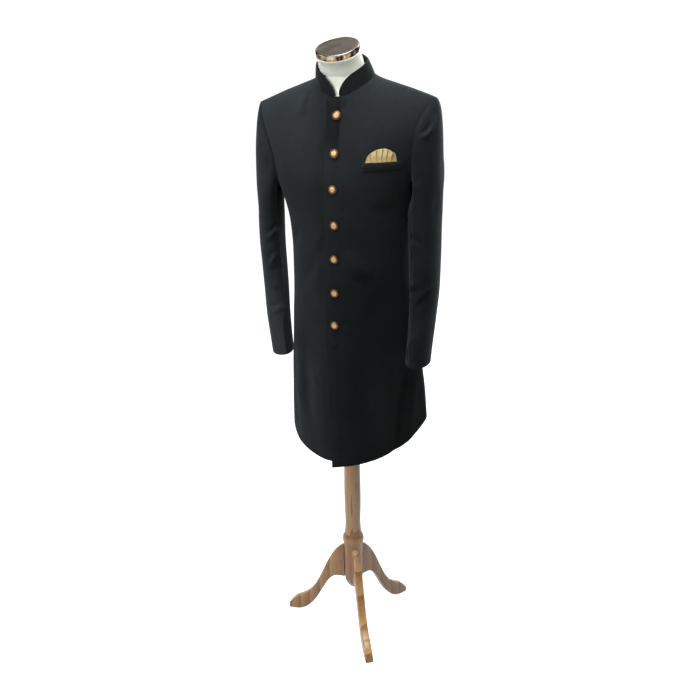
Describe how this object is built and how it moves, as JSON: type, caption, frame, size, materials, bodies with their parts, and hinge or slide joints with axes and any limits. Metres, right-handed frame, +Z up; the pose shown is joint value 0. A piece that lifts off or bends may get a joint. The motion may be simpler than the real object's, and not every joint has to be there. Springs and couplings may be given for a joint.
{
  "type": "sherwani coat on dress form",
  "caption": "Long black band-collar sherwani coat with a buttoned lapped front, breast pocket with pleated square and plain sleeves, on a limbless dress form with a wooden tripod stand.",
  "frame": {"origin": "on the floor below the pole's axis, at the middle of the whole part", "axes": "-Y is the coat's front, +X is the wearer's left, +Z is up"},
  "size_m": [0.4938, 0.3808, 1.6941],
  "materials": {
    "coat_wool": "fine-weave matt wool blend",
    "collar_wool": "fine-weave matt wool blend, interfaced",
    "silk": "satin",
    "rose_brass": "polished rose-gold plating",
    "form_white": "matt white",
    "chrome": "polished",
    "stand_wood": "satin lacquer"
  },
  "bodies": {
    "root": {"front_left": "coat_wool", "front_right": "coat_wool", "back_left": "coat_wool", "back_right": "coat_wool", "sleeve_top_left": "coat_wool", "sleeve_under_left": "coat_wool", "sleeve_top_right": "coat_wool", "sleeve_under_right": "coat_wool", "breast_pocket": "coat_wool", "collar": "collar_wool", "pocket_square": "silk", "button_1": "rose_brass", "button_2": "rose_brass", "button_3": "rose_brass", "button_4": "rose_brass", "button_5": "rose_brass", "button_6": "rose_brass", "button_7": "rose_brass", "form_torso": "form_white", "form_neck_cap": "chrome", "stand_pole": "stand_wood", "stand_leg_1": "stand_wood", "stand_leg_2": "stand_wood", "stand_leg_3": "stand_wood"}
  },
  "joints": []
}
